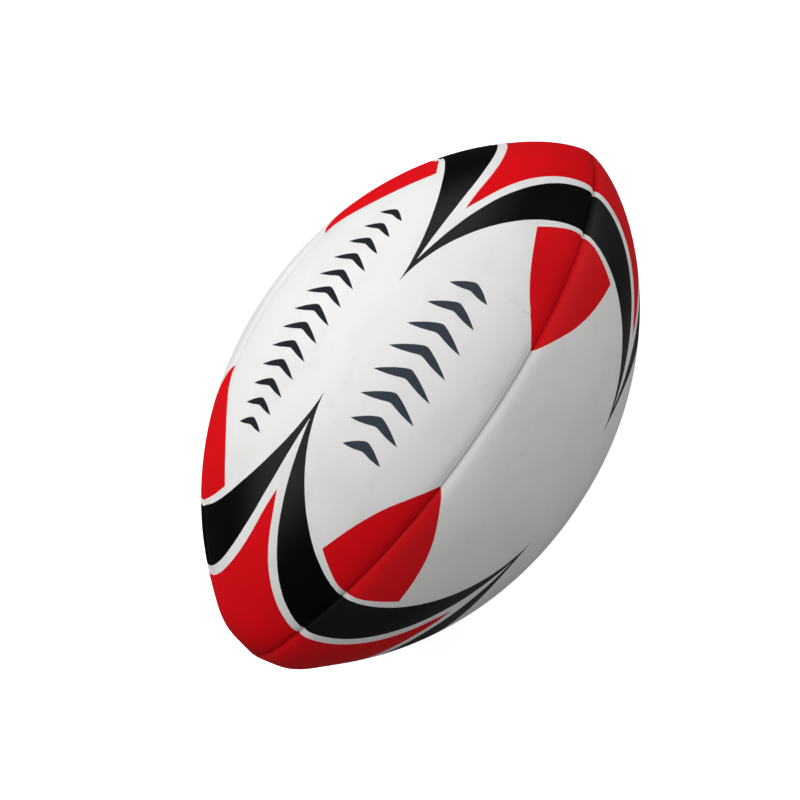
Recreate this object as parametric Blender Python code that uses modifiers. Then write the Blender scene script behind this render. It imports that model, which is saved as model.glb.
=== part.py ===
"""Four-panel rugby ball: sewn outer panels on a laminated lining, an inner bladder and a valve.

Run with blender --background --python part.py. Units are metres.
The ball's centre is the origin. +X runs along the long axis, +Z is the top panel, +Y is the valve panel.
The four seams lie halfway between the panels, in the planes at 45 degrees to Y and Z.
"""
import math

import bmesh
import bpy
import numpy as np

# ---- outer form -------------------------------------------------------------------------
HALF_LENGTH = 0.150        # centre to point
RADIUS = 0.0918            # mean radius at mid-length
POWER_ALONG = 2.0665       # how full the profile is along the length
POWER_ACROSS = 1.4516      # how blunt the points are
SQUARE_MID = 0.0117        # the sewn edges stand this share proud of a round section
SQUARE_FADE = -0.0143      # and lose it towards the points

# ---- layers -----------------------------------------------------------------------------
GAP = 0.0003               # between pieces that touch
COVER_T = 0.0012           # outer panel
LINING_T = 0.0017          # backing laminate
BLADDER_T = 0.0010         # bladder wall
SHOULDER_R = 0.0022        # rounding of a panel's edge into the seam
COVER_FLANGE = 0.0045      # how far an outer panel's edge is turned in
LINING_FLANGE = 0.0042     # how far the lining is turned in with it
COVER_TIP_R = 0.0020       # panel tips stop this far from the axis
LINING_TIP_R = 0.0060

# ---- sewing -----------------------------------------------------------------------------
THREAD_D = 0.0010
THREAD_DEPTH = 0.0057      # centre of the thread under the seam line
THREAD_SWING = 0.0013      # side-to-side throw of each stitch
STITCHES = 48              # per seam
KNOT_R = 0.0016

# ---- bladder ----------------------------------------------------------------------------
BLADDER_DEPTH = 0.0048     # under the outer surface, mid-panel
BLADDER_VALLEY = 0.0079    # under the outer surface, over a seam
BLADDER_TIP_R = 0.0015

# ---- valve ------------------------------------------------------------------------------
VALVE_HOLE_R = 0.0060      # hole through cover and lining
VALVE_NECK_R = 0.0055
VALVE_BORE_R = 0.00335
VALVE_SEAT_R = 0.0043      # counterbore under the plug's head
VALVE_FACE_SINK = 0.0006   # the valve's outer face lies this far under the cover
VALVE_FLANGE_R = 0.0120
VALVE_FLANGE_T = 0.0012
VALVE_TUBE_R = 0.0050
VALVE_TUBE_LENGTH = 0.0220
CORE_R = 0.0030
CORE_HEAD_R = 0.0040
CORE_HEAD_T = 0.0012
CORE_LENGTH = 0.0190
NEEDLE_R = 0.0008
NEEDLE_DEPTH = 0.0110
PATCH_R = 0.0160
PATCH_T = 0.0006
PATCH_DEPTH = 0.0039

PANELS = {"top": 90.0, "valve": 0.0, "under": 270.0, "front": 180.0}   # direction in Y-Z, from +Y towards +Z
NAME = "rugby_ball"


def clear():
    for obj in list(bpy.data.objects):
        bpy.data.objects.remove(obj, do_unlink=True)
    for block in (bpy.data.meshes, bpy.data.curves, bpy.data.materials, bpy.data.collections):
        for item in list(block):
            block.remove(item)


def collection(name):
    made = bpy.data.collections.new(name)
    bpy.context.scene.collection.children.link(made)
    return made


def material(name, colour, roughness, metallic=0.0):
    made = bpy.data.materials.new(name)
    made.use_nodes = True
    shader = made.node_tree.nodes["Principled BSDF"]
    shader.inputs["Base Color"].default_value = (*colour, 1.0)
    shader.inputs["Roughness"].default_value = roughness
    shader.inputs["Metallic"].default_value = metallic
    made.diffuse_color = (*colour, 1.0)
    return made


# ---- the outer form as a function -------------------------------------------------------
def profile(x):
    return RADIUS * max(0.0, 1.0 - abs(x / HALF_LENGTH) ** POWER_ALONG) ** (1.0 / POWER_ACROSS)


XS = HALF_LENGTH * np.sin(np.linspace(-math.pi / 2, math.pi / 2, 4001))
RS = np.array([profile(x) for x in XS])
ARC = np.concatenate([[0.0], np.cumsum(np.hypot(np.diff(XS), np.diff(RS)))])
ARC -= ARC[-1] / 2
TX, TR = np.gradient(XS, ARC), np.gradient(RS, ARC)
HALF_ARC = ARC[-1]


def meridian(s):
    """Axial position, radius and outward normal (axial, radial) at arc length s from mid-length."""
    x, r = np.interp(s, ARC, XS), np.interp(s, ARC, RS)
    tx, tr = np.interp(s, ARC, TX), np.interp(s, ARC, TR)
    size = math.hypot(tx, tr)
    return x, r, -tr / size, tx / size


def arc_at_radius(radius):
    """Arc length from mid-length at which the ball is this thick."""
    half = len(ARC) // 2
    return float(np.interp(-radius, -RS[half:], ARC[half:]))


def squareness(x, seam_angle):
    """Radius factor at an angle (radians) measured from the nearest seam."""
    return 1.0 + (SQUARE_MID + SQUARE_FADE * (x / HALF_LENGTH) ** 2) * math.cos(4 * seam_angle)


def at(x, rho, angle):
    return (x, rho * math.cos(angle), rho * math.sin(angle))


def on_form(s, angle, depth):
    """A point at this depth under the outer surface; the angle is measured from +Y towards +Z."""
    x, r, nx, nr = meridian(s)
    r *= squareness(x, angle - math.pi / 4)
    return at(x - depth * nx, r - depth * nr, angle)


def beside_seam(s, seam, side, offset, depth):
    """A point beside the seam plane at angle seam: offset from the plane towards side (+1 or -1)."""
    x, r, nx, nr = meridian(s)
    r *= squareness(x, 0.0)
    rho = r - depth * nr
    rho = math.sqrt(max(rho * rho - offset * offset, 1e-12)) if depth < SHOULDER_R else rho
    rho = max(rho, offset)
    c, d = math.cos(seam), math.sin(seam)
    return (x - depth * nx, rho * c - side * offset * d, rho * d + side * offset * c)


def stations(tip_radius, inner, tip):
    """Arc lengths of the sections: even along the body, closer towards each point."""
    end = arc_at_radius(tip_radius)
    half = list(np.linspace(0.0, end - 0.020, inner)) + [end - 0.020 + 0.020 * k for k in tip]
    return [-s for s in half[:0:-1]] + half


def loft(name, rings, coll, mat, smooth=True):
    """A closed solid through closed rings of equal count, capped at both ends."""
    bm = bmesh.new()
    rows = [[bm.verts.new(p) for p in ring] for ring in rings]
    for first, second in zip(rows, rows[1:]):
        for i in range(len(first)):
            j = (i + 1) % len(first)
            bm.faces.new((first[i], first[j], second[j], second[i]))
    bm.faces.new(rows[0][::-1])
    bm.faces.new(rows[-1])
    bmesh.ops.triangulate(bm, faces=[f for f in bm.faces if len(f.verts) > 4])
    bmesh.ops.recalc_face_normals(bm, faces=bm.faces)
    if bm.calc_volume(signed=True) < 0:
        bmesh.ops.reverse_faces(bm, faces=bm.faces)
    return keep(bm, name, coll, mat, smooth)


def keep(bm, name, coll, mat, smooth=True):
    mesh = bpy.data.meshes.new(name)
    bm.to_mesh(mesh)
    bm.free()
    for polygon in mesh.polygons:
        polygon.use_smooth = smooth
    obj = bpy.data.objects.new(name, mesh)
    obj.data.materials.append(mat)
    coll.objects.link(obj)
    return obj


def shoulder(offset):
    """Depth of the rounded panel edge at this distance from the seam plane."""
    inside = max(0.0, SHOULDER_R - offset)
    return 0.75 * (SHOULDER_R - math.sqrt(max(SHOULDER_R ** 2 - inside ** 2, 0.0)))


def cover(name, centre, coll, mat, steps):
    """An outer panel: a curved skin whose two long edges turn in to meet the next panel's."""
    middle = math.radians(centre)
    seam_a, seam_b = middle - math.pi / 4, middle + math.pi / 4
    rings = []
    for s in stations(COVER_TIP_R, 9, (0.3, 0.55, 0.75, 0.88, 0.96, 1.0)):
        x, r, nx, nr = meridian(s)
        size = min(1.0, r / 0.012)
        w = min(GAP / 2, r * 0.5)
        wall = COVER_T * min(1.0, 0.35 + r / 0.004)
        flange = max(wall * 1.25, COVER_FLANGE * min(1.0, (r - 0.002) / 0.010))
        sh = [w, w + 0.0006 * size, SHOULDER_R * size]
        ring = [beside_seam(s, seam_a, 1, o, shoulder(o / size) * size) for o in sh]
        edge = math.asin(min(0.5, SHOULDER_R * size * 1.05 / max(r, 1e-6)))
        for k in range(1, steps):
            ring.append(on_form(s, seam_a + edge + (math.pi / 2 - 2 * edge) * k / steps, 0.0))
        ring += [beside_seam(s, seam_b, -1, o, shoulder(o / size) * size) for o in sh[::-1]]
        ring.append(beside_seam(s, seam_b, -1, w, flange))
        t = min(wall, r * 0.35)
        ring.append(beside_seam(s, seam_b, -1, w + t, flange))
        deep = min(wall + shoulder(w + t) * size, flange * 0.97)
        ring.append(beside_seam(s, seam_b, -1, w + t, deep))
        inner = math.asin(min(0.6, (w + t) * 1.02 / max(r - wall * nr, 1e-6)))
        for k in range(1, steps):
            ring.append(on_form(s, seam_b - inner - (math.pi / 2 - 2 * inner) * k / steps, wall))
        ring.append(beside_seam(s, seam_a, 1, w + t, deep))
        ring.append(beside_seam(s, seam_a, 1, w + t, flange))
        ring.append(beside_seam(s, seam_a, 1, w, flange))
        rings.append(ring)
    return loft(name, rings, coll, mat)


def lining(name, centre, coll, mat, steps):
    """The backing laminate behind one outer panel, turned in along the same edges."""
    middle = math.radians(centre)
    seam_a, seam_b = middle - math.pi / 4, middle + math.pi / 4
    top = COVER_T + GAP
    low = top + LINING_T
    w = GAP / 2 + COVER_T + GAP
    rings = []
    for s in stations(LINING_TIP_R, 9, (0.3, 0.6, 0.8, 1.0)):
        x, r, nx, nr = meridian(s)
        flange = max(low + 0.0003, top + (LINING_FLANGE - top) * min(1.0, (r - 0.004) / 0.010))
        sh = shoulder(w) + 0.0002
        outer = math.asin(w * 1.03 / (r - top * nr))
        inner = math.asin((w + LINING_T) * 1.02 / (r - low * nr))
        ring = [beside_seam(s, seam_a, 1, w, top + sh)]
        for k in range(1, steps):
            ring.append(on_form(s, seam_a + outer + (math.pi / 2 - 2 * outer) * k / steps, top))
        ring.append(beside_seam(s, seam_b, -1, w, top + sh))
        ring.append(beside_seam(s, seam_b, -1, w, flange))
        ring.append(beside_seam(s, seam_b, -1, w + LINING_T, flange))
        ring.append(beside_seam(s, seam_b, -1, w + LINING_T, low + 0.0001))
        for k in range(1, steps):
            ring.append(on_form(s, seam_b - inner - (math.pi / 2 - 2 * inner) * k / steps, low))
        ring.append(beside_seam(s, seam_a, 1, w + LINING_T, low + 0.0001))
        ring.append(beside_seam(s, seam_a, 1, w + LINING_T, flange))
        ring.append(beside_seam(s, seam_a, 1, w, flange))
        rings.append(ring)
    return loft(name, rings, coll, mat)


def thread(name, seam_degrees, coll, mat):
    """The sewing along one seam: a continuous zig-zag just under the turned-in edges."""
    seam = math.radians(seam_degrees)
    end = arc_at_radius(0.0052)
    curve = bpy.data.curves.new(name, "CURVE")
    curve.dimensions = "3D"
    curve.bevel_depth = THREAD_D / 2
    curve.bevel_resolution = 2
    curve.use_fill_caps = True
    spline = curve.splines.new("POLY")
    spline.points.add(STITCHES)
    for k in range(STITCHES + 1):
        s = -end + 2 * end * k / STITCHES
        x, r, nx, nr = meridian(s)
        swing = THREAD_SWING * min(1.0, max(0.0, (r - 0.005) / 0.015)) * (1 if k % 2 else -1)
        p = beside_seam(s, seam, 1 if swing > 0 else -1, abs(swing), THREAD_DEPTH)
        spline.points[k].co = (*p, 1.0)
    obj = bpy.data.objects.new(name, curve)
    curve.materials.append(mat)
    coll.objects.link(obj)
    return obj


def bladder(coll, mat):
    """The bladder: it fills the panels and is pressed in where it rides over each sewn edge."""
    def ring(s, extra, around=(0.0, 0.0026, 0.0056, 0.0100)):
        x, r, nx, nr = meridian(s)
        points = []
        for quarter in range(4):
            seam = math.pi / 4 + quarter * math.pi / 2
            spread = []
            for k, o in enumerate(around):
                spread.append(min(math.asin(min(0.999, o / max(r, 1e-6))), k * math.radians(10)))
            first = spread[-1]
            angles = spread + [first + (math.pi / 2 - 2 * first) * k / 5 for k in range(1, 5)]
            angles += [math.pi / 2 - a for a in spread[:0:-1]]
            for a in angles:
                near = min(a, math.pi / 2 - a)
                lateral = r * math.sin(near)
                fall = min(1.0, max(0.0, (lateral - 0.0028) / 0.0065))
                fall = fall * fall * (3 - 2 * fall)
                depth = BLADDER_VALLEY + (BLADDER_DEPTH - BLADDER_VALLEY) * fall + extra
                points.append(on_form(s, seam + a, depth))
        return points

    end = arc_at_radius(0.0085)
    half = list(np.linspace(0.0, end - 0.022, 8)) + [end - 0.011, end - 0.003, end]
    row = [-s for s in half[:0:-1]] + half
    outer = [ring(s, 0.0) for s in row]
    obj = loft("bladder", outer, coll, mat)
    inside = loft("bladder_cavity", [ring(s, BLADDER_T) for s in row[1:-1]], cutters, mat)
    cut(obj, inside)
    return obj


def helper(obj):
    obj.hide_render = True
    obj.display_type = "WIRE"
    return obj


def cut(obj, cutter, operation="DIFFERENCE"):
    helper(cutter)
    modifier = obj.modifiers.new(cutter.name, "BOOLEAN")
    modifier.operation = operation
    modifier.solver = "EXACT"
    modifier.object = cutter


def turned(name, points, coll, mat, steps=32):
    """A solid of revolution about the valve's axis (+Y); points are (radius, height), outer side top to bottom."""
    mesh = bpy.data.meshes.new(name)
    mesh.from_pydata([(r, 0.0, h) for r, h in points], [(i, i + 1) for i in range(len(points) - 1)], [])
    obj = bpy.data.objects.new(name, mesh)
    mesh.materials.append(mat)
    coll.objects.link(obj)
    screw = obj.modifiers.new("turn", "SCREW")
    screw.axis = "Z"
    screw.steps = screw.render_steps = steps
    screw.use_merge_vertices = True
    screw.merge_threshold = 0.00005
    obj.rotation_euler = (-math.pi / 2, 0.0, 0.0)      # local +Z becomes +Y
    return obj


def patch(coll, mat):
    """The reinforcing ring glued to the lining round the valve, bent to the ball's curve."""
    bm = bmesh.new()
    rings = []
    for radius in np.linspace(VALVE_HOLE_R, PATCH_R, 4):
        ring = []
        for k in range(32):
            turn = 2 * math.pi * k / 32
            s, across = radius * math.cos(turn), radius * math.sin(turn)
            ring.append(bm.verts.new(on_form(s, across / RADIUS, PATCH_DEPTH)))
        rings.append(ring)
    for first, second in zip(rings, rings[1:]):
        for i in range(32):
            j = (i + 1) % 32
            bm.faces.new((first[i], first[j], second[j], second[i]))
    bmesh.ops.recalc_face_normals(bm, faces=bm.faces)
    if sum((f.normal.y for f in bm.faces)) < 0:
        bmesh.ops.reverse_faces(bm, faces=bm.faces)
    obj = keep(bm, "valve_patch", coll, mat)
    solid = obj.modifiers.new("thickness", "SOLIDIFY")
    solid.thickness = PATCH_T
    solid.offset = -1.0
    return obj


clear()
ball = collection(NAME)
cutters = collection(NAME + "_cutters")

white = material("cover_synthetic_leather", (0.80, 0.80, 0.80), 0.42)
backing = material("lining_polycotton", (0.72, 0.66, 0.52), 0.90)
waxed = material("waxed_thread", (0.83, 0.80, 0.70), 0.60)
latex = material("bladder_rubber", (0.11, 0.10, 0.10), 0.55)
valve_rubber = material("valve_rubber", (0.05, 0.05, 0.055), 0.50)
plug_rubber = material("valve_core_rubber", (0.60, 0.60, 0.58), 0.50)
ring_cloth = material("valve_patch_cloth", (0.60, 0.56, 0.46), 0.90)

covers, linings = {}, {}
for side, angle in PANELS.items():
    steps = 12 if side == "valve" else 8
    covers[side] = cover("cover_panel_" + side, angle, ball, white, steps)
    linings[side] = lining("panel_lining_" + side, angle, ball, backing, steps)

for number, angle in enumerate((135.0, 45.0, 315.0, 225.0), 1):
    thread("seam_thread_%d" % number, angle, ball, waxed)

for name, side in (("tip_knot_right", 1), ("tip_knot_left", -1)):
    x, r, nx, nr = meridian(HALF_ARC)
    bm = bmesh.new()
    bmesh.ops.create_uvsphere(bm, u_segments=16, v_segments=10, radius=KNOT_R)
    knot = keep(bm, name, ball, waxed)
    knot.scale = (0.75, 1.0, 1.0)
    knot.location = (side * (HALF_LENGTH - THREAD_DEPTH - 0.0006), 0.0, 0.0)

skin = bladder(ball, latex)

# The valve stands on +Y at mid-length. Heights are along Y, from the ball's centre.
face = RADIUS * (1.0 - SQUARE_MID)
top = face - VALVE_FACE_SINK
under_wall = face - BLADDER_DEPTH - BLADDER_T
flange_top = under_wall - 0.0017
housing = turned("valve_housing", [
    (VALVE_SEAT_R, top), (VALVE_NECK_R - 0.0004, top), (VALVE_NECK_R, top - 0.0004),
    (VALVE_NECK_R, flange_top), (VALVE_FLANGE_R - 0.0003, flange_top), (VALVE_FLANGE_R, flange_top - 0.0003),
    (VALVE_FLANGE_R, flange_top - VALVE_FLANGE_T), (VALVE_TUBE_R, flange_top - VALVE_FLANGE_T - 0.0006),
    (VALVE_TUBE_R, top - VALVE_TUBE_LENGTH), (VALVE_BORE_R, top - VALVE_TUBE_LENGTH),
    (VALVE_BORE_R, top - CORE_HEAD_T - GAP), (VALVE_SEAT_R, top - CORE_HEAD_T - GAP), (VALVE_SEAT_R, top)],
    ball, valve_rubber)
core = turned("valve_core", [
    (NEEDLE_R, top), (CORE_HEAD_R - 0.0003, top), (CORE_HEAD_R, top - 0.0003),
    (CORE_HEAD_R, top - CORE_HEAD_T), (CORE_R, top - CORE_HEAD_T), (CORE_R, top - CORE_LENGTH + 0.0010),
    (CORE_R - 0.0010, top - CORE_LENGTH), (0.0, top - CORE_LENGTH), (0.0, top - NEEDLE_DEPTH - 0.0004),
    (NEEDLE_R, top - NEEDLE_DEPTH), (NEEDLE_R, top)], ball, plug_rubber, 24)
patch(ball, ring_cloth)

bore = turned("valve_hole_cutter", [
    (0.0, face + 0.010), (VALVE_HOLE_R, face + 0.010), (VALVE_HOLE_R, face - 0.020), (0.0, face - 0.020)],
    cutters, valve_rubber)
helper(bore)
# A Boolean reads the cutter's evaluated mesh, so the one cutter serves all three layers.
for layer in (covers["valve"], linings["valve"], skin):
    cut(layer, bore)
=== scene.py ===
import math

import bmesh
import bpy
import numpy as np
from mathutils import Matrix, Vector


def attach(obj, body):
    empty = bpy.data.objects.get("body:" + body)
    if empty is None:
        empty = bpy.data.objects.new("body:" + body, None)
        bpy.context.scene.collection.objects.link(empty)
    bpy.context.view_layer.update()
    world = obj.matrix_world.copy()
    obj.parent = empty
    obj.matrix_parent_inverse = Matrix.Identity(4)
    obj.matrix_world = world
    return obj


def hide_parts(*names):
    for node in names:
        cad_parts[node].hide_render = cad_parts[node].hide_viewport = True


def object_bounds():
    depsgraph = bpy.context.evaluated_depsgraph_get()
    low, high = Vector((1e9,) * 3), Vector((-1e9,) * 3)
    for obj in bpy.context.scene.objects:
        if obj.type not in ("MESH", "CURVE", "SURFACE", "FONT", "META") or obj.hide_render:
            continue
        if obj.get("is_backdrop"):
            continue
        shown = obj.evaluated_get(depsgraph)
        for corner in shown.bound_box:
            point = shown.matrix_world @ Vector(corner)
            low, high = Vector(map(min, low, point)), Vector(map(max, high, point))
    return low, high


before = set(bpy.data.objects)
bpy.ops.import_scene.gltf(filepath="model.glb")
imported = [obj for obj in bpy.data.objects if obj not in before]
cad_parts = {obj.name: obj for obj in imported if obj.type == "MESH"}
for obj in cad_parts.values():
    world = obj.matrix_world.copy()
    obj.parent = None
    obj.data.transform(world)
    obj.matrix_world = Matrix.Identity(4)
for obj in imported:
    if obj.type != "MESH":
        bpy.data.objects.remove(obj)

# ==== sizes, in metres ====================================================================
LOW, HIGH = (np.array(v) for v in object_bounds())
HALF_LENGTH = 0.150
RADIUS = 0.0918
POWER_ALONG, POWER_ACROSS = 2.0665, 1.4516
SQUARE_MID, SQUARE_FADE = 0.0117, -0.0143
GAP = 0.0003
COVER_T = 0.0012
COVER_FLANGE = 0.0045
TIP_R = 0.0007
FOLD_AT = 0.0520
STITCH = 0.0078            # one stitch along a seam
VALVE_HOLE_R = 0.0060
PRINT_SHIFT = 0.0006       # the print sits this far off centre along the ball
BLUNT_PUSH, BLUNT_REACH = 0.0021, 0.020      # the -X point is pushed in by this, over this length
BLUNT_SWELL, BLUNT_AT, BLUNT_WIDE = 0.0010, 0.024, 0.011
TIP_ASIDE = (0.0, -0.0010, -0.0005)          # and leans this far off the axis
SKEW = math.radians(7.0)                     # the hand-sewn seam between top and valve panels wanders this far round at the -X end

PANELS = {"top": 90.0, "valve": 0.0, "under": 270.0, "front": 180.0}   # angle in Y-Z, from +Y towards +Z

mm = 0.001


# ==== the ball's outer form ===============================================================
XS = HALF_LENGTH * np.sin(np.linspace(-math.pi / 2, math.pi / 2, 8001))
RS = RADIUS * np.maximum(0.0, 1.0 - np.abs(XS / HALF_LENGTH) ** POWER_ALONG) ** (1.0 / POWER_ACROSS)
ARC = np.concatenate([[0.0], np.cumsum(np.hypot(np.diff(XS), np.diff(RS)))])
ARC -= ARC[-1] / 2
TX, TR = np.gradient(XS, ARC), np.gradient(RS, ARC)
HALF_ARC = ARC[-1]


def meridian(s):
    x, r = np.interp(s, ARC, XS), np.interp(s, ARC, RS)
    tx, tr = np.interp(s, ARC, TX), np.interp(s, ARC, TR)
    size = np.hypot(tx, tr)
    return x, r, -tr / size, tx / size


def arc_at_radius(radius):
    half = len(ARC) // 2
    return float(np.interp(-radius, -RS[half:], ARC[half:]))


def smooth(value, low, high):
    t = np.clip((value - low) / (high - low), 0.0, 1.0)
    return t * t * (3 - 2 * t)


def wander(s, angle):
    """How far round the ball the seam between the top and valve panels strays here, and the print with it."""
    off = np.mod(angle - math.pi / 4 + math.pi, 2 * math.pi) - math.pi
    spread = np.where(off > 0, np.exp(-(off / math.radians(8.5)) ** 2), np.exp(-(off / math.radians(22.0)) ** 2))
    return SKEW * spread * smooth(-s, 0.035, 0.080) * smooth(s + HALF_ARC, 0.0, 0.022)


def form(s, angle, depth):
    """Points this deep under the outer form. angle runs from +Y towards +Z. Arrays broadcast."""
    s, angle = np.asarray(s, float), np.asarray(angle, float)
    x, r, nx, nr = meridian(s)
    # the -X point is blunter than the other: pushed in a little, and fuller just behind
    left = HALF_ARC + s
    push = np.clip(1.0 - left / BLUNT_REACH, 0.0, 1.0)
    x = x + BLUNT_PUSH * push * push * (3 - 2 * push)
    depth = depth - BLUNT_SWELL * np.exp(-((left - BLUNT_AT) / BLUNT_WIDE) ** 2)
    r = r * (1.0 + (SQUARE_MID + SQUARE_FADE * (x / HALF_LENGTH) ** 2) * np.cos(4 * (angle - math.pi / 4)))
    rho = r - depth * nr
    turned = angle - wander(s, angle)
    lean = 1.0 - smooth(left, 0.0, 0.045)
    return np.stack(np.broadcast_arrays(x - depth * nx, rho * np.cos(turned) + TIP_ASIDE[1] * lean, rho * np.sin(turned) + TIP_ASIDE[2] * lean), -1)


def smooth_curve(points, x, after=3.0):
    """A smooth line through control points, straight beyond its ends."""
    px, py = (np.array(v, float) for v in zip(*points))
    slope = np.gradient(py, px)
    k = np.clip(np.searchsorted(px, x) - 1, 0, len(px) - 2)
    h = px[k + 1] - px[k]
    t = (x - px[k]) / h
    inside = ((2 * t ** 3 - 3 * t ** 2 + 1) * py[k] + (t ** 3 - 2 * t ** 2 + t) * h * slope[k]
              + (-2 * t ** 3 + 3 * t ** 2) * py[k + 1] + (t ** 3 - t ** 2) * h * slope[k + 1])
    low = py[0] + (x - px[0]) * slope[0]
    high = py[-1] + (x - px[-1]) * slope[-1]
    return np.where(x < px[0], low, np.where(x > px[-1], high, inside)), np.where(
        x < px[0], slope[0], np.where(x > px[-1], slope[-1], slope[k]))


# ==== the printed pattern, in millimetres on a panel ======================================
# u runs from mid-length towards a point of the ball, w from the panel's centre line to its edge.
TIP_EDGE = [(79, -0.3), (84, 0.8), (88, 1.7), (94, 2.9), (100, 4.0), (106, 5.3), (112, 6.9), (118, 8.9), (124, 11.5),
            (130, 14.8), (136, 19.6), (140, 25.0), (142.6, 31.0)]
BLACK_OUT = [(44, 0.0), (52, 0.9), (58, 1.6), (64, 2.3), (70, 3.1), (76, 3.9), (82, 4.9), (88, 6.0), (94, 7.1), (100, 8.5),
             (106, 10.2), (112, 12.1), (118, 14.4), (124, 17.3), (130, 21.4), (135, 27.0), (138.6, 33.6)]
BLACK_IN = [(30.5, 0.0), (35, 0.45), (40, 1.2), (46, 2.6), (52, 4.2), (58, 6.2), (64, 8.6), (70, 11.3), (76, 14.3), (82, 17.7), (88, 21.6),
            (94, 26.0), (100, 31.6), (106, 40.0), (109.3, 48.0)]
LEAF_END = [(88, 26.4), (94, 31.7), (100, 37.6), (104, 43.0), (106.4, 49.5)]
LEAF_SIDE = [(36.4, 70.2), (40, 66.8), (46, 61.9), (52, 57.0), (58, 52.2), (64, 47.9), (70, 44.0), (76, 40.4), (82, 37.0),
             (88, 33.7), (94, 30.4)]


def beyond(points, u, w):
    """How far a point lies on the seam side of a line, in mm."""
    y, slope = smooth_curve(points, u)
    return (w - y) / np.sqrt(1.0 + slope ** 2)


def pattern(s, across):
    """The print at arc length s and arc distance across (from the centre line), both in metres."""
    s = s + PRINT_SHIFT
    u, w = np.abs(s) / mm, np.abs(across) / mm
    tip = -beyond(TIP_EDGE, u, w)
    tip = np.minimum(tip, (u - 79.0))
    black = np.minimum(beyond(BLACK_OUT, u, w), -beyond(BLACK_IN, u, w))
    black = np.where(u < 44, np.minimum(-beyond(BLACK_IN, u, w), u - 30.5), black)
    leaf = np.minimum(beyond(LEAF_END, u, w), beyond(LEAF_SIDE, u, w))
    red = np.maximum(tip, leaf)
    return red, black


# ==== meshes ==============================================================================
def mesh_object(name, points, faces, material, attributes=None, smooth=True):
    mesh = bpy.data.meshes.new(name)
    mesh.vertices.add(len(points))
    mesh.vertices.foreach_set("co", np.asarray(points, np.float32).reshape(-1))
    faces = np.asarray(faces, np.int32)
    mesh.loops.add(faces.size)
    mesh.loops.foreach_set("vertex_index", faces.reshape(-1))
    mesh.polygons.add(len(faces))
    mesh.polygons.foreach_set("loop_start", np.arange(len(faces), dtype=np.int32) * faces.shape[1])
    mesh.polygons.foreach_set("use_smooth", np.full(len(faces), smooth))
    mesh.update(calc_edges=True)
    mesh.validate()
    for key, values in (attributes or {}).items():
        layer = mesh.attributes.new(key, "FLOAT", "POINT")
        layer.data.foreach_set("value", np.asarray(values, np.float32))
    obj = bpy.data.objects.new(name, mesh)
    mesh.materials.append(material)
    bpy.context.scene.collection.objects.link(obj)
    return obj


def tidy(obj, fill=True, weld=0.0, sharp=None):
    """Fills open ends, turns all faces out, and marks sharp edges."""
    mesh = obj.data
    bm = bmesh.new()
    bm.from_mesh(mesh)
    if weld:
        bmesh.ops.remove_doubles(bm, verts=bm.verts, dist=weld)
    if fill:
        open_edges = [e for e in bm.edges if e.is_boundary]
        if open_edges:
            made = bmesh.ops.holes_fill(bm, edges=open_edges, sides=0)["faces"]
            for f in made:
                f.smooth = False
            bmesh.ops.triangulate(bm, faces=made)
    bmesh.ops.recalc_face_normals(bm, faces=bm.faces)
    if bm.calc_volume(signed=True) < 0:
        bmesh.ops.reverse_faces(bm, faces=bm.faces)
    bm.to_mesh(mesh)
    bm.free()
    if sharp is not None:
        mesh.set_sharp_from_angle(angle=math.radians(sharp))
    return obj


def grid_faces(rows, columns, wrap=False):
    """Quads of a grid of points stored row by row."""
    last = columns if wrap else columns - 1
    i, j = np.meshgrid(np.arange(rows - 1), np.arange(last), indexing="ij")
    a = i * columns + j
    b = i * columns + (j + 1) % columns
    return np.stack([a, b, b + columns, a + columns], -1).reshape(-1, 4)


def noise2(s, angle, seed, scale):
    """A gentle, repeatable unevenness made of a few sine waves."""
    total = 0.0
    random = np.random.RandomState(seed)
    for _ in range(7):
        ks, ka, phase = random.uniform(0.5, 1.0) / scale, random.randint(1, 5), random.uniform(0, 6.28)
        total = total + np.sin(2 * math.pi * ks * s + ka * angle * random.choice([-1, 1]) + phase)
    return total / 7


def groove(o, s, r):
    """Depth of a panel's edge as it rolls into the seam: o is the distance from the seam plane."""
    size = np.clip(r / 0.012, 0.15, 1.0)
    wide = np.exp(-o / (0.00205 * size))
    fade = np.clip(1.0 - o / (0.014 * size), 0.0, 1.0)
    pucker = 0.5 + 0.5 * np.cos(2 * math.pi * s / STITCH)
    return size * fade * (0.0024 * wide + 0.00016 * pucker * np.exp(-o / 0.0030) * (1.0 - np.exp(-o / 0.0008)))


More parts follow.
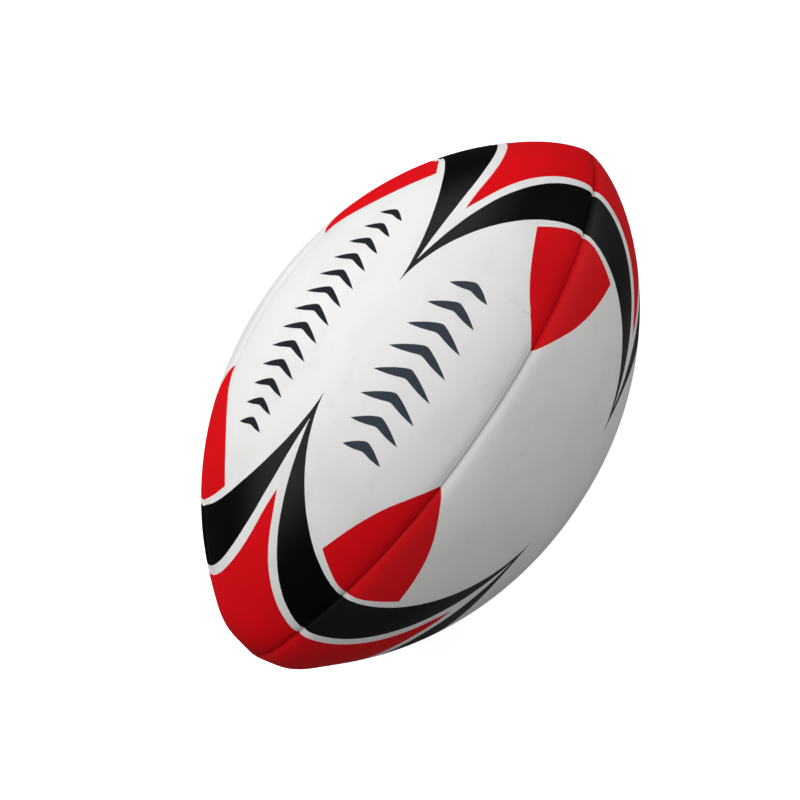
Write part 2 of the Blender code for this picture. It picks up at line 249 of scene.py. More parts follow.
def panel_grid(name, centre):
    """The outer panel: a fine outer skin, edges turned in at the seams, and an inner face."""
    middle = math.radians(centre)
    end = arc_at_radius(TIP_R)
    rows = 421
    t = np.linspace(-1.0, 1.0, rows)
    s = end * (t + 0.06 * np.sin(math.pi * t)) / 1.0
    s = np.clip(s, -end, end)
    s[0], s[-1] = -end, end
    x, r, nx, nr = meridian(s)
    # across: offsets from the seam plane close to the edge, even angles in the middle
    near = np.array([0.0, 0.012, 0.03, 0.055, 0.09, 0.135, 0.19, 0.255, 0.33, 0.42, 0.52, 0.63, 0.75, 0.87, 1.0])
    zone = np.minimum(0.0095, 0.42 * r * math.pi / 4)
    w0 = np.minimum(0.00006, r * 0.1)
    offsets = w0[:, None] + (zone - w0)[:, None] * near[None, :]
    edge = np.arcsin(np.clip(offsets / r[:, None], 0, 0.98))
    steps = 88
    share = np.linspace(0.0, 1.0, steps + 1)[1:-1]
    inner = edge[:, -1:] + (math.pi / 2 - 2 * edge[:, -1:]) * share[None, :]
    angles = np.concatenate([edge, inner, math.pi / 2 - edge[:, ::-1]], 1)
    columns = angles.shape[1]
    S = np.repeat(s[:, None], columns, 1)
    rr = r[:, None]
    o = rr * np.sin(np.minimum(angles, math.pi / 2 - angles))
    depth = groove(o, S, rr)
    turned = middle - math.pi / 4 + angles
    depth = depth + 0.00010 * noise2(S, turned, 5, 0.11)
    if name == "valve":
        far = np.hypot(S, (turned - middle) * RADIUS)
        depth = depth + 0.0005 * np.exp(-((far - 0.0062) / 0.0022) ** 2)
    fold = np.full(S.shape, 9.0)
    if name == "top":
        dip, away, ends = crease(S, turned)
        depth = depth + dip
        fold = np.abs(away) / mm + 9.0 * (1.0 - ends)
    points = form(S, turned, depth)
    across = (angles - math.pi / 4) * rr
    red, black = pattern(S, across)
    # the turned-in edge: same angle plane, going down
    def flange(column, sign):
        lip = depth[:, column]
        down = np.minimum(COVER_FLANGE, np.maximum(0.0018, 0.30 * r))
        made = []
        for k in (0.35, 0.75, 1.0):
            d = lip + (down - lip) * k
            made.append(form(s, turned[:, column], d))
        return made
    left, right = flange(0, 1), flange(columns - 1, -1)
    thick = np.minimum(COVER_T, 0.30 * r)
    inside_angles = [np.clip(angles[:, c], np.arcsin(np.clip((w0 + thick) / np.maximum(r - thick, 1e-5), 0, 0.7)),
                             math.pi / 2 - np.arcsin(np.clip((w0 + thick) / np.maximum(r - thick, 1e-5), 0, 0.7)))
                     for c in range(columns - 1, -1, -6)]
    inside = [form(s, middle - math.pi / 4 + a, np.maximum(thick, thick + 0.6 * groove(r * np.sin(np.minimum(a, math.pi / 2 - a)), s, r)))
              for a in inside_angles]
    down = np.minimum(COVER_FLANGE, np.maximum(0.0018, 0.30 * r))
    foot_r = form(s, middle - math.pi / 4 + inside_angles[0], down)
    foot_l = form(s, middle - math.pi / 4 + inside_angles[-1], down)
    rest = np.stack(right + [foot_r] + inside + [foot_l] + left[::-1], 1)
    every = np.concatenate([points, rest], 1)
    count = every.shape[1]
    faces = grid_faces(rows, count, wrap=True)
    pad = count - columns
    ink = {"ink_red": red, "ink_black": black}
    attributes = {}
    for key, value in ink.items():
        # a turned-in edge carries on the colour of its own side of the seam
        extra = np.repeat(np.full((rows, 1), -5.0), pad, 1)
        extra[:, :3] = value[:, -1:]
        extra[:, -3:] = value[:, :1]
        attributes[key] = np.concatenate([value, extra], 1).reshape(-1)
    face_side = np.concatenate([np.ones((rows, columns)), np.zeros((rows, pad))], 1)
    face_side[:, columns:columns + 3] = 1
    face_side[:, -3:] = 1
    attributes["outside"] = face_side.reshape(-1)
    # the print on the two lower panels keeps more of its gloss
    attributes["gloss"] = np.full(rows * count, 1.0 if name in ("front", "under") else 0.0)
    seam_near = np.concatenate([o, np.repeat(o[:, :1] * 0, pad, 1)], 1)
    attributes["seam_mm"] = (seam_near / mm).reshape(-1)
    attributes["fold_mm"] = np.concatenate([fold, np.full((rows, pad), 9.0)], 1).reshape(-1)
    attributes["along_mm"] = np.repeat((s[:, None] + PRINT_SHIFT) / mm, count, 1).reshape(-1)
    # only the top and under panels carry the mark; elsewhere this stays clear of its bands
    beside = np.repeat(across[:, -1:], pad, 1)
    beside[:, pad // 2:] = across[:, :1]
    place = np.concatenate([across, beside], 1) / mm
    attributes["across_mm"] = (place if name in ("top", "under") else place * 0.0).reshape(-1)
    return every.reshape(-1, 3), faces, attributes, rows, count


def crease(S, turned):
    """One shallow fold across the top panel, running in from its seam."""
    degrees = np.degrees(turned)
    line = FOLD_AT - 0.0020 * (degrees - 118.0) / 10.0
    ends = np.clip((degrees - 114.5) / 4.0, 0.0, 1.0) * np.clip((131.5 - degrees) / 3.0, 0.0, 1.0)
    d = S - line
    return ends * (0.00042 * np.exp(-(d / 0.0009) ** 2) - 0.00022 * np.exp(-((d - 0.0021) / 0.0013) ** 2)), d, ends


# ==== materials ===========================================================================
def new_material(name):
    made = bpy.data.materials.new(name)
    made.use_nodes = True
    tree = made.node_tree
    shader = tree.nodes["Principled BSDF"]
    return made, tree, shader


def node(tree, kind, **settings):
    made = tree.nodes.new(kind)
    for key, value in settings.items():
        if key == "inputs":
            for slot, v in value.items():
                made.inputs[slot].default_value = v
        else:
            setattr(made, key, value)
    return made


def math_node(tree, operation, a, b=None, clamp=False):
    made = tree.nodes.new("ShaderNodeMath")
    made.operation = operation
    made.use_clamp = clamp
    for slot, value in ((0, a), (1, b)):
        if value is None:
            continue
        if isinstance(value, (int, float)):
            made.inputs[slot].default_value = value
        else:
            tree.links.new(value, made.inputs[slot])
    return made.outputs[0]


def mix_colour(tree, factor, a, b):
    made = tree.nodes.new("ShaderNodeMix")
    made.data_type = "RGBA"
    for slot, value in (("Factor", factor), ("A", a), ("B", b)):
        socket = [i for i in made.inputs if i.name == slot and (i.type == ("VALUE" if slot == "Factor" else "RGBA"))][0]
        if isinstance(value, (int, float)):
            socket.default_value = value
        elif isinstance(value, tuple):
            socket.default_value = (*value, 1.0)
        else:
            tree.links.new(value, socket)
    return [o for o in made.outputs if o.type == "RGBA"][0]


def attribute(tree, name):
    made = tree.nodes.new("ShaderNodeAttribute")
    made.attribute_name = name
    return made.outputs["Fac"]


def ramp(tree, value, low, high, out_low=0.0, out_high=1.0):
    made = tree.nodes.new("ShaderNodeMapRange")
    made.interpolation_type = "SMOOTHSTEP"
    tree.links.new(value, made.inputs["Value"])
    made.inputs["From Min"].default_value = low
    made.inputs["From Max"].default_value = high
    made.inputs["To Min"].default_value = out_low
    made.inputs["To Max"].default_value = out_high
    return made.outputs["Result"]


def noise(tree, where, scale, detail=3.0, rough=0.5):
    made = tree.nodes.new("ShaderNodeTexNoise")
    made.inputs["Scale"].default_value = scale
    made.inputs["Detail"].default_value = detail
    made.inputs["Roughness"].default_value = rough
    tree.links.new(where, made.inputs["Vector"])
    return made.outputs["Fac"]


def object_place(tree):
    return tree.nodes.new("ShaderNodeTexCoord").outputs["Object"]


WHITE = (0.80, 0.80, 0.795)
RED = (0.70, 0.0054, 0.0098)
RED_DEEP = (0.64, 0.0048, 0.0088)
BLACK = (0.0029, 0.0029, 0.0030)
CHARCOAL = (0.0233, 0.0236, 0.0242)
SLATE = (0.040, 0.050, 0.064)
INK_DARK = (0.016, 0.018, 0.023)


def stretched(tree, place, amounts):
    """The same place with each axis scaled, so a pattern on it runs longer one way."""
    made = tree.nodes.new("ShaderNodeVectorMath")
    made.operation = "MULTIPLY"
    tree.links.new(place, made.inputs[0])
    made.inputs[1].default_value = amounts
    return made.outputs[0]


def chevrons(tree, along, aside, centre, start, end, count, tall, lean, thick):
    """Inside distance, in mm, to a row of bent strokes: a plain pattern, tallest in the middle of its row."""
    pitch = (end - start) / count
    c = math_node(tree, "SUBTRACT", aside, centre)
    bent = math_node(tree, "SQRT", math_node(tree, "ADD", math_node(tree, "MULTIPLY", c, c), 1.4))
    q = math_node(tree, "ADD", math_node(tree, "ADD", along, math_node(tree, "MULTIPLY", bent, lean)), -start - lean * tall * 0.25)
    cell = math_node(tree, "ADD", math_node(tree, "FLOOR", math_node(tree, "DIVIDE", q, pitch)), 0.5)
    off = math_node(tree, "ABSOLUTE", math_node(tree, "SUBTRACT", q, math_node(tree, "MULTIPLY", cell, pitch)))
    share = math_node(tree, "DIVIDE", cell, float(count))
    size = math_node(tree, "ADD", math_node(tree, "MULTIPLY", math_node(tree, "SINE", math_node(tree, "MULTIPLY", share, math.pi)), tall * 0.42), tall * 0.58)
    reach = math_node(tree, "DIVIDE", math_node(tree, "MULTIPLY", c, 2.0), size)
    body = math_node(tree, "SUBTRACT", 1.0, math_node(tree, "MULTIPLY", reach, reach))
    inside = math_node(tree, "SUBTRACT", math_node(tree, "MULTIPLY", body, thick / 2), math_node(tree, "MULTIPLY", off, 1.0 / math.hypot(1.0, lean)))
    kept = tree.nodes.new("ShaderNodeMath")
    kept.operation = "COMPARE"
    tree.links.new(share, kept.inputs[0])
    kept.inputs[1].default_value, kept.inputs[2].default_value = 0.5, 0.5
    return math_node(tree, "ADD", inside, math_node(tree, "MULTIPLY", math_node(tree, "SUBTRACT", kept.outputs[0], 1.0), 30.0))


def cover_material():
    made, tree, shader = new_material("printed_synthetic_leather")
    place = object_place(tree)
    wobble = math_node(tree, "MULTIPLY", math_node(tree, "SUBTRACT", noise(tree, place, 420.0, 2.0), 0.5), 0.16)
    def ink(name, edge=0.16):
        value = math_node(tree, "ADD", attribute(tree, name), wobble)
        return ramp(tree, value, -edge, edge)
    red, black = ink("ink_red", 0.12), ink("ink_black", 0.12)
    along, aside = attribute(tree, "along_mm"), attribute(tree, "across_mm")
    dark = ramp(tree, math_node(tree, "ADD", chevrons(tree, along, aside, -29.5, -66.0, 64.0, 13, 25.5, 0.42, 3.5), wobble), -0.12, 0.12)
    grey = ramp(tree, math_node(tree, "ADD", chevrons(tree, along, aside, 30.0, -51.0, 50.0, 8, 31.0, 0.42, 4.6), wobble), -0.12, 0.12)
    cloud = noise(tree, place, 16.0, 3.0)
    white = mix_colour(tree, ramp(tree, cloud, 0.35, 0.75), WHITE, (0.775, 0.775, 0.765))
    # handling marks: faint cloudy streaks over the white
    smudge = ramp(tree, noise(tree, stretched(tree, place, (0.45, 1.0, 1.0)), 46.0, 6.0, 0.62), 0.42, 0.68, 0.0, 0.13)
    white = mix_colour(tree, smudge, white, (0.42, 0.42, 0.41))
    colour = mix_colour(tree, grey, mix_colour(tree, dark, white, INK_DARK), SLATE)
    redder = mix_colour(tree, ramp(tree, noise(tree, place, 26.0, 3.0), 0.35, 0.7), RED, RED_DEEP)
    colour = mix_colour(tree, red, colour, redder)
    # the black is lighter, charcoal, towards the middle of a panel and darkest near the seams
    lighter_to_middle = ramp(tree, attribute(tree, "seam_mm"), 22.0, 52.0)
    blacker = mix_colour(tree, math_node(tree, "MULTIPLY", lighter_to_middle, lighter_to_middle), BLACK, CHARCOAL)
    colour = mix_colour(tree, black, colour, blacker)
    # painted shade: a darker line down the fold
    colour = mix_colour(tree, ramp(tree, attribute(tree, "fold_mm"), 0.05, 0.60, 0.34, 0.0), colour, (0.25, 0.25, 0.22))
    # painted shade: the surface darkens deep in the seam groove
    seam_shade = ramp(tree, attribute(tree, "seam_mm"), 0.0, 0.5, 0.30, 0.0)
    colour = mix_colour(tree, seam_shade, colour, mix_colour(tree, 0.7, colour, (0.05, 0.045, 0.04)))
    # the uncoated back of the panel
    colour = mix_colour(tree, attribute(tree, "outside"), (0.55, 0.54, 0.50), colour)
    tree.links.new(colour, shader.inputs["Base Color"])
    inked = math_node(tree, "MAXIMUM", math_node(tree, "MAXIMUM", red, black), math_node(tree, "MAXIMUM", dark, grey))
    rough = math_node(tree, "ADD", math_node(tree, "MULTIPLY", inked, 0.02), 0.44)
    rough = math_node(tree, "ADD", rough, math_node(tree, "MULTIPLY", noise(tree, place, 700.0, 2.0), 0.10))
    tree.links.new(rough, shader.inputs["Roughness"])
    glossy = math_node(tree, "MULTIPLY", attribute(tree, "gloss"), math_node(tree, "ADD", math_node(tree, "MULTIPLY", black, 0.11), 0.06))
    shine = math_node(tree, "ADD", math_node(tree, "MULTIPLY", inked, math_node(tree, "ADD", glossy, -0.135)), 0.15)
    tree.links.new(shine, shader.inputs["Specular IOR Level"])
    # fine grain of the embossed coating, with pores
    cells = tree.nodes.new("ShaderNodeTexVoronoi")
    cells.feature = "DISTANCE_TO_EDGE"
    cells.inputs["Scale"].default_value = 900.0
    tree.links.new(place, cells.inputs["Vector"])
    grain = math_node(tree, "ADD", ramp(tree, cells.outputs["Distance"], 0.0, 0.25), math_node(tree, "MULTIPLY", noise(tree, place, 1500.0, 2.0), 0.5))
    bump = tree.nodes.new("ShaderNodeBump")
    bump.inputs["Strength"].default_value = 0.22
    bump.inputs["Distance"].default_value = 0.00006
    tree.links.new(grain, bump.inputs["Height"])
    soft = tree.nodes.new("ShaderNodeBump")
    soft.inputs["Strength"].default_value = 0.5
    soft.inputs["Distance"].default_value = 0.0002
    tree.links.new(noise(tree, place, 55.0, 3.0), soft.inputs["Height"])
    tree.links.new(soft.outputs["Normal"], bump.inputs["Normal"])
    tree.links.new(bump.outputs["Normal"], shader.inputs["Normal"])
    return made


COVER = cover_material()

def cut_hole(piece, radius):
    """Cuts the round valve hole through a piece, along Y, and keeps the result as its mesh."""
    bm = bmesh.new()
    bmesh.ops.create_cone(bm, cap_ends=True, segments=96, radius1=radius, radius2=radius, depth=0.06)
    mesh = bpy.data.meshes.new("cutter")
    bm.to_mesh(mesh)
    bm.free()
    cutter = bpy.data.objects.new("cutter", mesh)
    cutter.rotation_euler = (math.pi / 2, 0, 0)
    cutter.location = (0, 0.085, 0)
    bpy.context.scene.collection.objects.link(cutter)
    modifier = piece.modifiers.new("hole", "BOOLEAN")
    modifier.operation, modifier.solver, modifier.object = "DIFFERENCE", "EXACT", cutter
    graph = bpy.context.evaluated_depsgraph_get()
    made = bpy.data.meshes.new_from_object(piece.evaluated_get(graph), depsgraph=graph)
    piece.modifiers.clear()
    piece.data = made
    bpy.data.objects.remove(cutter, do_unlink=True)
    # the rim of the hole is a crisp cut edge, so the panel's shading stays smooth right up to it
    bm = bmesh.new()
    bm.from_mesh(made)
    for edge in bm.edges:
        on_rim = all(abs(math.hypot(v.co.x, v.co.z) - radius) < 0.0002 and v.co.y > 0 for v in edge.verts)
        if on_rim and len(edge.link_faces) == 2 and edge.calc_face_angle(0.0) > math.radians(30):
            edge.smooth = False
    bm.to_mesh(made)
    bm.free()


for side, angle in PANELS.items():
    points, faces, attributes, rows, count = panel_grid(side, angle)
    piece = tidy(mesh_object("cover_" + side, points, faces, COVER, attributes))
    if side == "valve":
        cut_hole(piece, VALVE_HOLE_R)
    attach(piece, "ball")
    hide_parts("cover_panel_" + side)


# ==== inner pieces and the valve ==========================================================
def plain_finish(name, colour, second, roughness, scale, bump_scale, bump_size, specular=0.4):
    """A two-tone mottled finish with its own relief."""
    made, tree, shader = new_material(name)
    place = object_place(tree)
    mottle = ramp(tree, noise(tree, place, scale, 4.0), 0.35, 0.7)
    tree.links.new(mix_colour(tree, mottle, colour, second), shader.inputs["Base Color"])
    rough = math_node(tree, "ADD", math_node(tree, "MULTIPLY", noise(tree, place, scale * 3, 3.0), 0.16), roughness - 0.08)
    tree.links.new(rough, shader.inputs["Roughness"])
    shader.inputs["Specular IOR Level"].default_value = specular
    bump = tree.nodes.new("ShaderNodeBump")
    bump.inputs["Strength"].default_value = 0.5
    bump.inputs["Distance"].default_value = bump_size
    tree.links.new(noise(tree, place, bump_scale, 3.0), bump.inputs["Height"])
    tree.links.new(bump.outputs["Normal"], shader.inputs["Normal"])
    return made


RUBBER = plain_finish("moulded_valve_rubber", (0.022, 0.022, 0.024), (0.034, 0.034, 0.036), 0.50, 160.0, 900.0, 0.00004)
PLUG = plain_finish("valve_plug_rubber", (0.50, 0.50, 0.47), (0.42, 0.42, 0.39), 0.48, 200.0, 1100.0, 0.00003)
LATEX = plain_finish("bladder_latex", (0.030, 0.026, 0.024), (0.055, 0.048, 0.043), 0.55, 30.0, 300.0, 0.00006)
CLOTH = plain_finish("polycotton", (0.56, 0.49, 0.35), (0.48, 0.41, 0.28), 0.90, 60.0, 1400.0, 0.00012, 0.15)
THREAD = plain_finish("waxed_polyester", (0.66, 0.62, 0.50), (0.55, 0.51, 0.40), 0.55, 300.0, 1600.0, 0.00008)


LINING_T = 0.0017
LINING_FLANGE = 0.0042
LINING_TIP_R = 0.0060
BLADDER_T = 0.0010
BLADDER_DEPTH, BLADDER_VALLEY = 0.0048, 0.0079
THREAD_R, THREAD_DEPTH, THREAD_SWING, STITCHES = 0.00042, 0.0057, 0.00125, 48
PATCH_R, PATCH_T, PATCH_DEPTH = 0.0160, 0.0006, 0.0039


def lining(name, centre):
    """The laminated cloth behind a panel, its edges turned in with the panel's."""
    middle = math.radians(centre)
    end = arc_at_radius(LINING_TIP_R)
    rows, steps = 181, 60
    s = end * np.linspace(-1.0, 1.0, rows)
    x, r, nx, nr = meridian(s)
    top, low = COVER_T + GAP, COVER_T + GAP + LINING_T
    w = GAP / 2 + COVER_T + GAP
    flange = np.maximum(low + 0.0003, top + (LINING_FLANGE - top) * np.clip((r - 0.004) / 0.010, 0, 1))
    outer = np.arcsin(w * 1.03 / (r - top * nr))
    inner = np.arcsin((w + LINING_T) * 1.02 / (r - low * nr))
    share = np.linspace(0.0, 1.0, steps + 1)
    def skin(edge, depth):
        angles = edge[:, None] + (math.pi / 2 - 2 * edge[:, None]) * share[None, :]
        o = r[:, None] * np.sin(np.minimum(angles, math.pi / 2 - angles))
        sink = 0.0009 * np.exp(-(o - w) / 0.0016)
        return form(s[:, None], middle - math.pi / 4 + angles, depth + sink), angles
    above, above_at = skin(outer, top)
    below, below_at = skin(inner, low)
    def foot(angle, depth):
        return form(s, middle - math.pi / 4 + angle, depth)[:, None]
    right = [foot(above_at[:, -1], flange), foot(below_at[:, -1], flange)]
    left = [foot(below_at[:, 0], flange), foot(above_at[:, 0], flange)]
    every = np.concatenate([above] + right + [below[:, ::-1]] + left, 1)
    return every.reshape(-1, 3), grid_faces(rows, every.shape[1], wrap=True)


def woven(name, colour, second, threads):
    """Plain-woven cloth: over-and-under threads in relief, seen from any side."""
    made, tree, shader = new_material(name)
    place = object_place(tree)
    split = tree.nodes.new("ShaderNodeSeparateXYZ")
    tree.links.new(place, split.inputs[0])
    around = math_node(tree, "MULTIPLY", math_node(tree, "ARCTAN2", split.outputs[2], split.outputs[1]), RADIUS)
    warp = math_node(tree, "SINE", math_node(tree, "MULTIPLY", split.outputs[0], threads))
    weft = math_node(tree, "SINE", math_node(tree, "MULTIPLY", around, threads))
    weave = math_node(tree, "MULTIPLY", warp, weft)
    mottle = ramp(tree, noise(tree, place, 40.0, 4.0), 0.35, 0.7)
    base = mix_colour(tree, mottle, colour, second)
    # painted shade: the low cells of the weave are darkened
    shade = mix_colour(tree, ramp(tree, weave, -1.0, 1.0, 0.35, 0.0), base, tuple(v * 0.55 for v in colour))
    tree.links.new(shade, shader.inputs["Base Color"])
    shader.inputs["Roughness"].default_value = 0.92
    shader.inputs["Specular IOR Level"].default_value = 0.12
    shader.inputs["Sheen Weight"].default_value = 0.15
    bump = tree.nodes.new("ShaderNodeBump")
    bump.inputs["Strength"].default_value = 0.7
    bump.inputs["Distance"].default_value = 0.00012
    tree.links.new(math_node(tree, "ADD", weave, noise(tree, place, 2500.0, 2.0)), bump.inputs["Height"])
    tree.links.new(bump.outputs["Normal"], shader.inputs["Normal"])
    return made


LAMINATE = woven("polycotton_laminate", (0.56, 0.49, 0.35), (0.50, 0.43, 0.30), 7000.0)


def tube(name, path, radius, material, sides=10, closed=False):
    """A round strand along a path of points."""
    path = np.asarray(path, float)
    if closed:
        ahead = np.roll(path, -1, 0) - np.roll(path, 1, 0)
    else:
        ahead = np.gradient(path, axis=0)
    ahead /= np.linalg.norm(ahead, axis=1, keepdims=True)
    side = np.cross(ahead[0], (0.3, 0.5, 0.81))
    rings = []
    for k, direction in enumerate(ahead):
        side = side - direction * side.dot(direction)
        side /= np.linalg.norm(side)
        up = np.cross(direction, side)
        turn = 2 * math.pi * np.arange(sides) / sides
        # two plies twisted together: the section is slightly oval and turns along the strand
        oval = radius * (1.0 + 0.16 * np.cos(2 * (turn + k * 0.55)))
        rings.append(path[k] + np.outer(oval * np.cos(turn), side) + np.outer(oval * np.sin(turn), up))
    points = np.array(rings)
    faces = grid_faces(len(path), sides, wrap=True)
    if closed:
        last, first = (len(path) - 1) * sides + np.arange(sides), np.arange(sides)
        # the last ring's points nearest the first ring's start close the loop without a twist
        shift = int(np.argmin(np.linalg.norm(points[0] - points[-1][0], axis=1)))
        first = np.roll(first, -shift)
        faces = np.concatenate([faces, np.stack([last, np.roll(last, -1), np.roll(first, -1), first], -1)])
    return tidy(mesh_object(name, points.reshape(-1, 3), faces, material), fill=not closed)


def seam_stitches(name, seam_degrees):
    seam = math.radians(seam_degrees)
    end = arc_at_radius(0.0052)
    k = np.linspace(0.0, STITCHES, STITCHES * 14 + 1)
    s = -end + 2 * end * k / STITCHES
    x, r, nx, nr = meridian(s)
    wave = np.cos(math.pi * (k + 1))
    wave = np.sign(wave) * np.abs(wave) ** 0.75
    swing = THREAD_SWING * np.clip((r - 0.005) / 0.015, 0.0, 1.0) * wave
    rho = np.maximum(r - THREAD_DEPTH * nr, np.abs(swing) + 1e-4)
    return tube(name, form(s, seam + np.arcsin(swing / rho), THREAD_DEPTH), THREAD_R, THREAD)


def knot(name, side):
    """A small three-lobed knot in the thread."""
    t = 2 * math.pi * np.arange(120) / 120
    big, small = 0.00068, 0.00040
    path = np.stack([0.00042 * np.sin(3 * t),
                     (big + small * np.cos(3 * t)) * np.cos(2 * t),
                     (big + small * np.cos(3 * t)) * np.sin(2 * t)], -1)
    path[:, 0] += side * (HALF_LENGTH - THREAD_DEPTH - 0.0006)
    if side < 0:
        path += TIP_ASIDE
    return tube(name, path, 0.00033, THREAD, closed=True)


def bladder_skin():
    """The bladder's wall, pressed in where it rides over each sewn edge."""
    end = arc_at_radius(0.0085)
    rows, quarter = 141, 40
    s = end * np.sin(np.linspace(-1.0, 1.0, rows) * 1.25) / math.sin(1.25)
    x, r, nx, nr = meridian(s)
    spread = np.linspace(0.0, 1.0, quarter + 1)[:-1]
    spread = spread - 0.07 * np.sin(2 * math.pi * spread)
    angles = np.concatenate([(q + spread) * math.pi / 2 for q in range(4)]) + math.pi / 4
    a = np.mod(angles - math.pi / 4, math.pi / 2)
    near = np.minimum(a, math.pi / 2 - a)
    fall = np.clip((r[:, None] * np.sin(near)[None, :] - 0.0028) / 0.0065, 0.0, 1.0)
    fall = fall * fall * (3 - 2 * fall)
    depth = BLADDER_VALLEY + (BLADDER_DEPTH - BLADDER_VALLEY) * fall
    count = len(angles)
    outer = form(s[:, None], angles[None, :], depth)
    inner = form(s[2:-2, None], angles[None, :], depth[2:-2] + BLADDER_T)
    faces = grid_faces(rows, count, wrap=True)
    cavity = grid_faces(rows - 4, count, wrap=True)[:, ::-1]
    shell = tidy(mesh_object("bladder_wall", outer.reshape(-1, 3), faces, LATEX))
    hollow = tidy(mesh_object("bladder_hollow", inner.reshape(-1, 3), cavity, LATEX))
    modifier = shell.modifiers.new("hollow", "BOOLEAN")
    modifier.operation, modifier.solver, modifier.object = "DIFFERENCE", "EXACT", hollow
    graph = bpy.context.evaluated_depsgraph_get()
    made = bpy.data.meshes.new_from_object(shell.evaluated_get(graph), depsgraph=graph)
    shell.modifiers.clear()
    shell.data = made
    bpy.data.objects.remove(hollow, do_unlink=True)
    cut_hole(shell, VALVE_HOLE_R)
    return shell


def rounded(points, radius, steps=3):
    """A closed profile with its corners rounded; points on the axis stay."""
    corner = [np.array(p, float) for p in (points[:-1] if points[0] == points[-1] else points)]
    made = []
    for k, p in enumerate(corner):
        before, after = corner[k - 1], corner[(k + 1) % len(corner)]
        a, b = before - p, after - p
        la, lb = np.linalg.norm(a), np.linalg.norm(b)
        cut = min(radius, 0.42 * la, 0.42 * lb)
        if p[0] <= 1e-9 or cut < 1e-6:
            made.append(p)
            continue
        start, stop = p + a / la * cut, p + b / lb * cut
        for j in range(steps + 1):
            t = j / steps
            made.append((1 - t) ** 2 * start + 2 * t * (1 - t) * p + t * t * stop)
    return np.array(made)


def turned(name, points, material, steps=96):
    """A solid of revolution about +Y from a closed profile of (radius, height)."""
    profile = rounded(points, 0.00022)
    turn = 2 * math.pi * np.arange(steps) / steps
    rings = np.stack([np.outer(np.cos(turn), profile[:, 0]),
                      np.repeat(profile[:, 1][None, :], steps, 0),
                      np.outer(np.sin(turn), profile[:, 0])], -1)
    count = len(profile)
    i, j = np.meshgrid(np.arange(steps), np.arange(count), indexing="ij")
    a, b = i * count + j, i * count + (j + 1) % count
    c, d = ((i + 1) % steps) * count + (j + 1) % count, ((i + 1) % steps) * count + j
    faces = np.stack([a, b, c, d], -1).reshape(-1, 4)
    obj = mesh_object(name, rings.reshape(-1, 3), faces, material)
    return tidy(obj, fill=False, weld=1e-6, sharp=38.0)


def patch_ring():
    """The round cloth patch glued round the valve, bent to the ball."""
    rings = np.linspace(VALVE_HOLE_R, PATCH_R, 15)
    turn = 2 * math.pi * np.arange(120) / 120
    s, across = np.outer(rings, np.cos(turn)), np.outer(rings, np.sin(turn))
    outer = form(s, across / RADIUS, PATCH_DEPTH)
    inner = form(s, across / RADIUS, PATCH_DEPTH + PATCH_T)
    every = np.concatenate([outer, inner[::-1]], 0)
    faces = grid_faces(len(every), 120, wrap=True)
    first, last = np.arange(120), (len(every) - 1) * 120 + np.arange(120)
    close = np.stack([last, np.roll(last, -1), np.roll(first, -1), first], -1)
    return tidy(mesh_object("valve_patch_cloth", every.reshape(-1, 3), np.concatenate([faces, close]), LAMINATE), fill=False, sharp=50.0)


def fit(piece, body, replaces):
    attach(piece, body)
    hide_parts(replaces)
    return piece


for side, angle in PANELS.items():
    points, faces = lining("lining_" + side, angle)
    piece = tidy(mesh_object("lining_" + side, points, faces, LAMINATE))
    if side == "valve":
        cut_hole(piece, VALVE_HOLE_R)
    fit(piece, "ball", "panel_lining_" + side)

for number, angle in enumerate((135.0, 45.0, 315.0, 225.0), 1):
    fit(seam_stitches("stitches_%d" % number, angle), "ball", "seam_thread_%d" % number)
for name, side in (("right", 1), ("left", -1)):
    fit(knot("thread_knot_" + name, side), "ball", "tip_knot_" + name)
fit(bladder_skin(), "ball", "bladder")
patch = fit(patch_ring(), "ball", "valve_patch")


FACE = RADIUS * (1.0 - SQUARE_MID)
TOP = FACE - 0.0006
FLANGE_TOP = FACE - BLADDER_DEPTH - BLADDER_T - 0.0017
fit(turned("valve_body", [
    (0.0043, TOP), (0.0051, TOP), (0.0055, TOP - 0.0004), (0.0055, FLANGE_TOP), (0.0117, FLANGE_TOP), (0.0120, FLANGE_TOP - 0.0003),
    (0.0120, FLANGE_TOP - 0.0012), (0.0050, FLANGE_TOP - 0.0018), (0.0050, TOP - 0.0220), (0.00335, TOP - 0.0220),
    (0.00335, TOP - 0.0015), (0.0043, TOP - 0.0015)], RUBBER), "ball", "valve_housing")
fit(turned("valve_plug_rubber", [
    (0.0008, TOP), (0.0037, TOP), (0.0040, TOP - 0.0003), (0.0040, TOP - 0.0012), (0.0030, TOP - 0.0012), (0.0030, TOP - 0.0180),
    (0.0020, TOP - 0.0190), (0.0, TOP - 0.0190), (0.0, TOP - 0.0114), (0.0008, TOP - 0.0110)], PLUG), "valve_plug", "valve_core")

# ==== camera ==============================================================================
lens = bpy.data.cameras.new("camera")
lens.lens, lens.sensor_width = 93.8647, 36.0
lens.clip_start, lens.clip_end = 0.01, 50.0
camera = bpy.data.objects.new("camera", lens)
right, up, back = Vector((0.553497, -0.771338, -0.314133)), Vector((0.824785, 0.455285, 0.335328)), Vector((-0.115631, -0.444695, 0.888187))
turn = Matrix((right, up, back)).transposed()
camera.matrix_world = Matrix.Translation((-0.123729, -0.445439, 0.910187)) @ turn.to_4x4()
bpy.context.scene.collection.objects.link(camera)
bpy.context.scene.camera = camera

# ==== floor and light =====================================================================
def area_light(name, place, size, power, colour=(1, 1, 1), shape="SQUARE", size_y=None):
    data = bpy.data.lights.new(name, "AREA")
    data.shape = shape
    data.size = size
    if size_y:
        data.size_y = size_y
    data.energy = power
    data.color = colour
    obj = bpy.data.objects.new(name, data)
    obj.location = place
    obj.rotation_mode = "QUATERNION"
    obj.rotation_quaternion = (-Vector(place)).to_track_quat("-Z", "Y")
    bpy.context.scene.collection.objects.link(obj)
    return obj


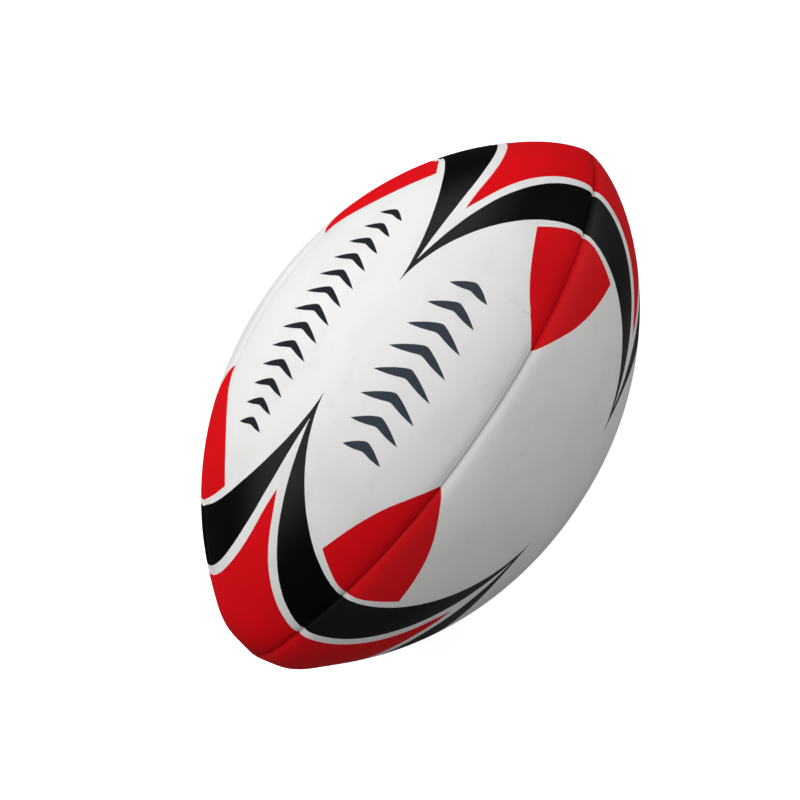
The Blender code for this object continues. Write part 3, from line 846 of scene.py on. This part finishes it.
FLOOR_Z = float(LOW[2]) - 0.0002
floor_material, tree, shader = new_material("pale_floor")
place = object_place(tree)
pale = mix_colour(tree, ramp(tree, noise(tree, place, 3.0, 2.0), 0.3, 0.7), (0.90, 0.90, 0.90), (0.885, 0.885, 0.885))
tree.links.new(pale, shader.inputs["Base Color"])
shader.inputs["Roughness"].default_value = 0.85
shader.inputs["Specular IOR Level"].default_value = 0.1
shader.inputs["Emission Color"].default_value = (1, 1, 1, 1)
shader.inputs["Emission Strength"].default_value = 0.80
floor = mesh_object("floor", [(-6, -6, FLOOR_Z), (6, -6, FLOOR_Z), (6, 6, FLOOR_Z), (-6, 6, FLOOR_Z)], [(0, 1, 2, 3)], floor_material, smooth=False)
floor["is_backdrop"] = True
floor.visible_diffuse = floor.visible_glossy = False     # the sheet under the ball throws no light back up at it

wall_material, tree, shader = new_material("pale_backdrop")
place = object_place(tree)
pale = mix_colour(tree, ramp(tree, noise(tree, place, 0.7, 2.0), 0.3, 0.7), (1.0, 1.0, 1.0), (0.99, 0.99, 0.99))
tree.links.new(pale, shader.inputs["Emission Color"])
shader.inputs["Base Color"].default_value = (0, 0, 0, 1)
shader.inputs["Specular IOR Level"].default_value = 0.0
shader.inputs["Emission Strength"].default_value = 1.0
turn, rise = np.meshgrid(np.linspace(0, 2 * math.pi, 49), np.linspace(-0.02, math.pi / 2, 17), indexing="ij")
dome = np.stack([5.9 * np.cos(rise) * np.cos(turn), 5.9 * np.cos(rise) * np.sin(turn), 5.9 * np.sin(rise) + FLOOR_Z], -1)
backdrop = mesh_object("backdrop", dome.reshape(-1, 3), grid_faces(49, 17), wall_material)
backdrop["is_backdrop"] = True
backdrop.visible_diffuse = backdrop.visible_glossy = backdrop.visible_shadow = backdrop.visible_transmission = False

LIGHTS = [
    # name, position, power
    ("key", (-0.416, 0.809, 1.668), 24.27),
    ("rim_left", (0.300, 1.395, 1.255), 14.23),
    ("rim_right", (1.744, -0.616, 0.436), 11.43),
    ("low_fill", (-0.970, -1.585, 0.397), 6.87),
    ("fill_high", (1.096, -1.336, 0.791), 5.75),
    ("rim_top", (1.467, 0.635, 1.026), 1.81),
]
for name, spot, power in LIGHTS:
    area_light(name, spot, 1.3, power)
world = bpy.data.worlds.new("studio")
world.use_nodes = True
world.node_tree.nodes["Background"].inputs["Color"].default_value = (1, 1, 1, 1)
world.node_tree.nodes["Background"].inputs["Strength"].default_value = 0.105
bpy.context.scene.world = world
bpy.context.scene.view_settings.view_transform = "Standard"
